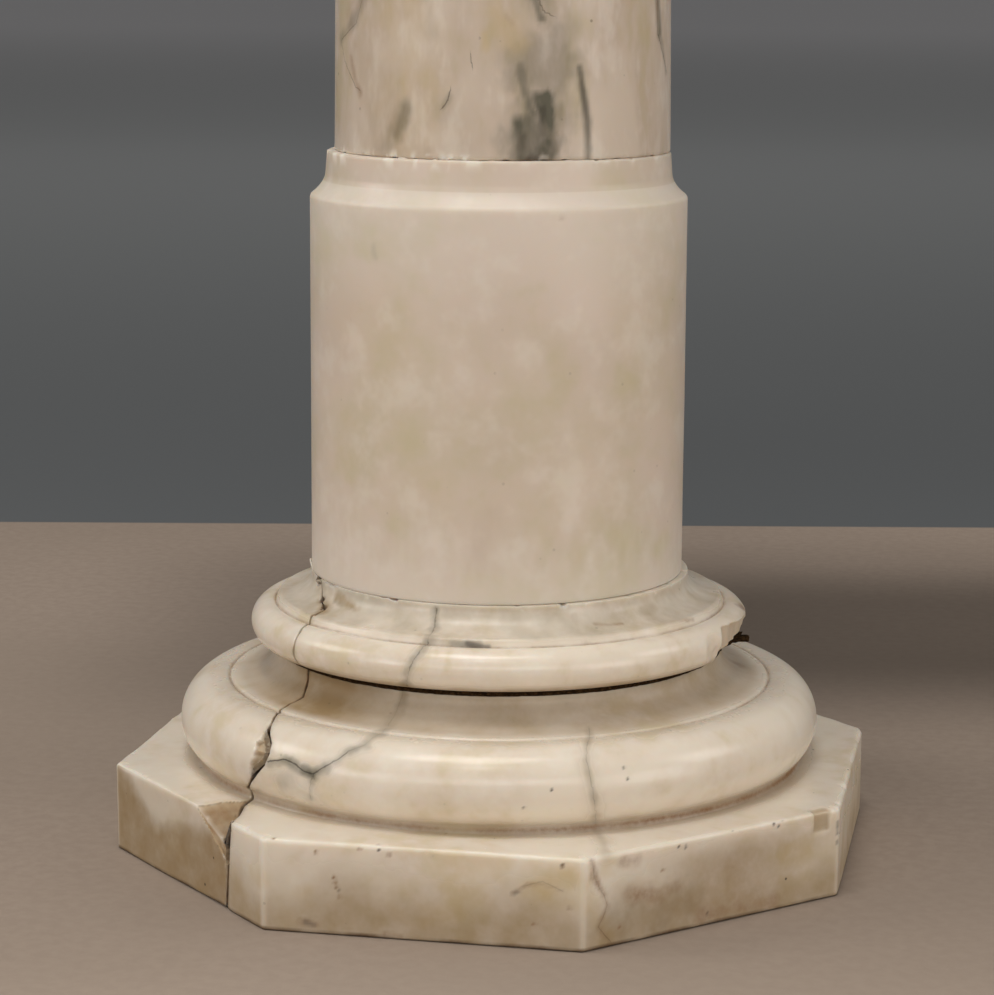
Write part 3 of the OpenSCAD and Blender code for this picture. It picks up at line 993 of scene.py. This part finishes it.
SHAFT_HEAD_R = 62.0


def shaft_profile():
    low, high = shaft_low[2], shaft_high[2]
    slope = (SHAFT_HEAD_R - SHAFT_R) / (high - low)

    def wall(z):
        return SHAFT_R + slope * (z - low)

    foot = np.array([(45, low), (SHAFT_R - 0.8, low), (SHAFT_R - 0.25, low + 0.3), (SHAFT_R, low + 0.9)])
    near_part = line((wall(low + 1.8), low + 1.8), (wall(low + 75), low + 75), 1.0)
    far_part = line((wall(low + 75), low + 75), (wall(high - 1), high - 1), 4.0)
    top = np.array([(wall(high) - 0.1, high - 1), (wall(high) - 0.8, high), (45, high)])
    return np.concatenate([foot, near_part, far_part, top])


def on_shaft(bearing, height):
    return spot_at(bearing, SHAFT_R, height)


def make_shaft():
    form = Turning(shaft_profile(), columns(0.8, 1.6))
    still = form.still
    low = shaft_low[2]
    height = still[..., 2]
    form.push(0.12 * lumps(still, 45, 101))
    chips = cliff(lumps(still * np.array([1, 1, 0.4]), 3.5, 103, 2), 0.12, 0.6)
    form.push(near(height - low, 2.0) * chips * 0.45)
    bedded = np.maximum(cliff(apart(form.bearing, -84), 0, -8), near(apart(form.bearing, -69), 7))
    joint_side = 0.25 + 0.75 * bedded
    form.add_paint("chalk_and_highlight", near(height - low, 4.4) * chips * joint_side)
    specks = cliff(lumps(still, 2.0, 105, 2), 0.35, 0.7) * near(height - low - 0.5, 2.2)
    form.push(-0.4 * specks * joint_side)
    form.add_paint("chalk_and_highlight", specks * joint_side)
    form.add_paint("rust_and_shade", 0.35 * near(height - low, 1.2) * cliff(lumps(still, 9, 107, 2), -0.2, 0.5))
    form.add_paint("pitted", 0.5)
    for k, (path, reach, amount, kind) in enumerate(SHAFT_MARKS):
        form.smoke([on_shaft(*p) for p in path], reach, amount, kind, 50 + k, (1, 1, 1.8))
    # the heart of the large cloud, and its smoke above
    for bearing, rise, wide, tall, amount in ((-68.3, 8, 9, 13, 0.78), (-65, 38, 14, 15, 0.42)):
        across = np.radians(apart(form.bearing, bearing)) * SHAFT_R
        cloud = np.hypot(across / wide, (height - low - rise) / tall) + 0.3 * lumps(still, 6, 121, 2)
        form.add_paint("grey", amount * cliff(cloud, 1.35, 0.5))
    form.add_lines([([on_shaft(*p) for p in path], width, deep) for path, width, deep in SHAFT_LINES])
    return form


SHAFT_MARKS = [
    # the large cloud, with its darkest part at the joint
    ([(-73.4, 287), (-73, 303)], 4.2, 1.0, "grey"),
    ([(-71.5, 289), (-66, 290)], 5.5, 1.0, "grey"),
    ([(-72, 298), (-66, 299)], 5.5, 0.9, "grey"),
    ([(-64.6, 287), (-64.4, 300), (-65.4, 312)], 4.2, 1.0, "grey"),
    ([(-71.5, 289), (-69, 291), (-65.5, 289)], 1.8, 0.6, "dirt_and_shade"),
    ([(-72.5, 286), (-64.5, 286)], 4.5, 1.0, "grey"),
    ([(-71, 293), (-66, 293)], 6.5, 1.0, "grey"),
    ([(-70.5, 287), (-65.5, 296)], 5.0, 0.22, "dirt_and_shade"),
    ([(-72.6, 294), (-72.4, 299)], 1.6, 0.35, "dirt_and_shade"),
    ([(-65.4, 300), (-65.8, 309)], 1.6, 0.45, "dirt_and_shade"),
    ([(-73, 298), (-66, 309)], 8.0, 0.6, "grey"),
    ([(-73.6, 326), (-72, 317), (-69, 308)], 2.6, 0.9, "grey"),
    ([(-71, 328), (-64, 327), (-61, 316), (-60, 306)], 6.5, 0.5, "grey"),
    ([(-69, 353), (-67, 346), (-66.5, 344)], 1.8, 0.8, "grey"),
    ([(-64, 352), (-60, 340), (-61, 330)], 6.5, 0.4, "grey"),
    ([(-53, 325), (-51.5, 314), (-50, 304), (-49.5, 290)], 1.7, 0.9, "grey"),
    ([(-52.8, 323), (-51.5, 314), (-50, 304), (-49.4, 289)], 0.8, 0.4, "dirt_and_shade"),
    ([(-112.5, 309), (-114.5, 304), (-116.5, 298)], 2.8, 0.75, "grey"),
    ([(-117, 299), (-122, 293)], 3.2, 0.5, "grey"),
    ([(-122, 293), (-104, 292)], 3.0, 0.3, "stain_and_shade"),
    ([(-112, 345), (-108, 300)], 13, 0.32, "ochre"),
    ([(-130, 325), (-122, 296)], 13, 0.36, "stain_and_shade"),
    ([(-98, 308), (-92, 296)], 6.0, 0.15, "grey"),
    ([(-96.3, 314), (-98.8, 309.5)], 1.4, 0.4, "grey"),
    ([(-15, 353), (-13.5, 338)], 2.6, 1.0, "grey"),
    ([(-16, 352), (-15, 344)], 1.6, 0.6, "rust_and_shade"),
    ([(-13, 338), (-6, 322)], 1.6, 0.6, "grey"),
    ([(-132, 353), (-138, 343), (-150, 334)], 2.6, 0.5, "grey"),
    ([(-141, 328), (-137, 318), (-134, 314)], 1.5, 0.7, "rust_and_shade"),
    ([(-134, 352), (-141, 345)], 4.5, 0.3, "rust_and_shade"),
    ([(-110, 353), (-111, 335), (-112, 318)], 4.6, 0.55, "ochre"),
    ([(-104, 353), (-103, 338)], 3.4, 0.5, "stain_and_shade"),
    ([(-82, 346), (-77, 340), (-75, 334)], 4.5, 0.5, "ochre"),
    ([(-85, 338), (-84, 332)], 1.4, 0.5, "ochre"),
    ([(-112, 303), (-112, 292)], 5.0, 0.3, "ochre"),
    ([(-78, 345), (-76, 342)], 1.0, 0.6, "rust_and_shade"),
]
SHAFT_LINES = [
    ([(-15.2, 352), (-15.0, 338), (-5.6, 323)], 0.6, 0.45),
    ([(-133, 351), (-137, 341), (-150, 334), (-146, 326), (-137, 316), (-134.5, 315)], 0.4, 0.35),
    ([(-89.2, 330), (-89.0, 325.5)], 0.4, 0.5),
    ([(-96.1, 316.5), (-97.0, 312.5), (-98.8, 309.5)], 0.45, 0.5),
    ([(-67.5, 351), (-65.5, 346.5), (-62.9, 345)], 0.55, 0.4),
]
shaft_stone = alabaster(
    "shaft stone", light=tint(217, 203, 187), warm=tint(206, 190, 174), deep=tint(196, 182, 146), cloud=38,
    grain=(1, 1, 0.45), wild=0.8, dull=0.28, seed=41.0)
shaft = make_shaft().mesh("upper_shaft", shaft_stone)
settle(shaft, "shaft")

# ---------------------------------------------------------------- capital

ABACUS_HALF = cap_high[0]
ABACUS_H = 30.0
ASTRAGAL_ROUND = 5.0
NECKING_H = 34.0


def capital_profile():
    low, high = cap_low[2], cap_high[2]
    head = SHAFT_HEAD_R
    slab = high - ABACUS_H
    echinus_low = low + 2 * ASTRAGAL_ROUND + NECKING_H
    echinus_r = ABACUS_HALF - 14
    start = head + 5
    bead = sweep((head, low + ASTRAGAL_ROUND), ASTRAGAL_ROUND, ASTRAGAL_ROUND, -88, 88, 0.8)
    necking = line((head - 0.8, low + 2 * ASTRAGAL_ROUND + 0.3), (head - 1, echinus_low - 5.2), 2)
    fillet = np.array([start, echinus_low]) + [(-0.4, -5), (0, -4.6), (0, -0.3), (0.3, 0)]
    swell = sweep((start, slab), echinus_r - start, echinus_low - slab, 90, 0, 1.4)
    turn = [(echinus_r, slab - 0.4), (echinus_r - 0.6, slab)]
    round_part = np.concatenate([[(40, low)], bead, necking, fillet, swell, turn])
    soffit = line((echinus_r, slab), (ABACUS_HALF - 1.5, slab), 3)
    toe = sweep((ABACUS_HALF - 1.5, slab + 1.5), 1.5, 1.5, -90, 0, 0.7)
    side = line((ABACUS_HALF, slab + 1.5), (ABACUS_HALF, high - 2.5), 2)
    arris = sweep((ABACUS_HALF - 2.5, high - 2.5), 2.5, 2.5, 0, 90, 0.6)
    top = line((ABACUS_HALF - 2.5, high), (40, high), 10)
    slab_part = [toe, side, arris, top]
    squaring = (np.arange(len(soffit)) + 1) / len(soffit)
    flat = np.concatenate([np.zeros(len(round_part)), squaring, np.ones(sum(map(len, slab_part)))])
    return np.concatenate([round_part, soffit, *slab_part]), flat


def make_capital():
    profile, flat = capital_profile()
    form = Turning(profile, columns(0.9, 0.9), flat)
    still = form.still
    arris = near(still[..., 2] - cap_high[2], 4) * cliff(np.hypot(still[..., 0], still[..., 1]), 108, 116)
    form.push(0.2 * lumps(still, 35, 111) + arris * (0.25 + 0.4 * lumps(still, 8, 113, 2)))
    form.add_paint("chalk_and_highlight", 0.3 * arris)
    form.add_paint("pitted", 0.4)
    return form


capital_stone = alabaster("capital stone", cloud=50, seed=63.0)
capital = make_capital().mesh("capital_and_abacus", capital_stone)
settle(capital, "capital")

# ---------------------------------------------------------------- floor, lamps and room

# how far behind the axis the floor ends and the paler ground of the room begins
WALL_AHEAD = -680.0


def floor_finish():
    material = bpy.data.materials.new("floor")
    bench = Bench(material)
    at = bench.place()
    depth = bench.along(at, turned_about(CAMERA_BEARING, 1, 0))
    across = bench.along(at, turned_about(CAMERA_BEARING, 0, 1))
    speck = bench.noise(at, 6, 4, 0.6)
    cloud = bench.noise(at, 300, 3)
    colour = bench.blend(speck.between(0.3, 0.7), tint(158, 143, 131), tint(166, 151, 138))
    colour = bench.blend(cloud.between(0.35, 0.65) * 0.5, colour, tint(152, 138, 125))
    # painted shadow of the column: the floor is darker behind it, most of all on its right
    right_dark = depth.between(-640, -440) * depth.between(-130, -310) * across.between(-60, 120)
    left_dark = depth.between(-680, -480) * depth.between(-120, -300) * across.between(-270, -100)
    painted_shadow = (right_dark * 0.62).most(left_dark * 0.34) * across.between(1400, 500)
    colour = bench.blend(painted_shadow, colour, tint(20, 18, 15))
    # painted pool of light: the floor is lighter in front of the column
    colour = bench.blend(depth.between(120, 380), colour, tint(190, 174, 159))
    # the grey ground of the room grows paler far off: painted light that makes up for the lamps' fall-off
    grey = bench.blend(depth.between(-700, -4800), tint(100, 104, 107), tint(195, 201, 205))
    grey = bench.blend(depth.between(-4800, -17000), grey, tint(232, 236, 242))
    colour = bench.blend(depth.between(WALL_AHEAD + 2, WALL_AHEAD - 2), colour, grey)
    bench.finish(
        Base_Color=colour, Roughness=0.85, Specular_IOR_Level=0.2, Normal=bench.bump(speck, 0.0006, 0.4))
    return material


FLOOR_REACH = 80000 * MM


def make_floor():
    data = bpy.data.meshes.new("floor")
    corners = [(x * FLOOR_REACH, y * FLOOR_REACH, 0) for x, y in ((-1, -1), (1, -1), (1, 1), (-1, 1))]
    data.from_pydata(corners, [], [(0, 1, 2, 3)])
    data.materials.append(floor_finish())
    sheet = bpy.data.objects.new("floor", data)
    bpy.context.scene.collection.objects.link(sheet)


make_floor()


def lamp(name, side, rise, distance, width, depth, power, aim_height=150.0, colour=(1, 1, 1)):
    """Softbox at an angle to the right of the camera and an angle above the floor."""
    data = bpy.data.lights.new(name, "AREA")
    data.shape = "RECTANGLE"
    data.size = width * MM
    data.size_y = depth * MM
    data.energy = power
    data.color = colour
    light = bpy.data.objects.new(name, data)
    bpy.context.scene.collection.objects.link(light)
    a = math.radians(CAMERA_BEARING + side)
    e = math.radians(rise)
    aim = Vector((0, 0, aim_height * MM))
    out = Vector((math.cos(a) * math.cos(e), math.sin(a) * math.cos(e), math.sin(e)))
    light.location = aim + out * distance * MM
    light.rotation_mode = "QUATERNION"
    light.rotation_quaternion = out.to_track_quat("Z", "Y")
    light.visible_camera = False
    return light


LAMP_TINT = (1.0, 0.96, 0.91)
lamp("overhead softbox", -38, 80, 3000, 1200, 1200, 33, colour=LAMP_TINT)
lamp("front window", -9, 58, 3000, 620, 320, 4.5, colour=LAMP_TINT)
lamp("left window", -51, 15, 2800, 300, 200, 2.2)
lamp("left softbox", -50, 16, 2800, 1300, 1000, 8)
lamp("right softbox", 52, 10, 2800, 1500, 1200, 14, colour=LAMP_TINT)
lamp("far right softbox", 85, 30, 2600, 900, 900, 8, colour=LAMP_TINT)
lamp("far left softbox", -90, 30, 2600, 900, 900, 13, colour=LAMP_TINT)
lamp("low fill", 0, 20, 3200, 3400, 700, 20, colour=LAMP_TINT)


def make_room():
    world = bpy.data.worlds.new("room")
    world.use_nodes = True
    sky = world.node_tree.nodes["Background"]
    sky.inputs["Color"].default_value = (*tint(205, 200, 196), 1)
    sky.inputs["Strength"].default_value = 0.24
    bpy.context.scene.world = world


make_room()
